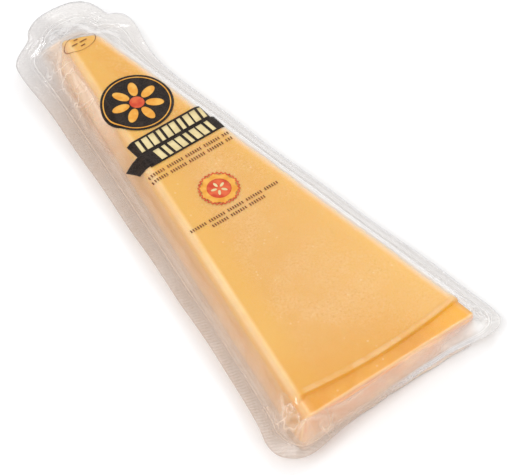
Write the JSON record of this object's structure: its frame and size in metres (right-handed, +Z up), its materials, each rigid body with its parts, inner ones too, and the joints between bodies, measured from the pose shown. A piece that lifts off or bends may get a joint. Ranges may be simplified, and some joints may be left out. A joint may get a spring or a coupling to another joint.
{
  "type": "vacuum-packed wedge of hard aged cheese",
  "caption": "Long flat wedge of hard aged cheese, rind at its wide end, sealed in clear printed film with a flat rim all round.",
  "frame": {"origin": "centre of the bounding box in plan, on the surface the pack lies on", "axes": "+Z up, +Y from the rind end towards the narrow end, +X to the right when looking along +Y"},
  "size_m": [0.0942, 0.2118, 0.0174],
  "materials": {
    "filled_pack": "glossy film over pale golden cheese",
    "cheese": "dense, faintly grainy pale golden paste",
    "clear_film": "clear glossy film with a ribbed seal",
    "print_dark": "near-black ink under film",
    "print_cream": "cream ink",
    "print_colour": "amber and red inks"
  },
  "bodies": {
    "root": {"sealed_pack": "filled_pack"}
  },
  "joints": []
}
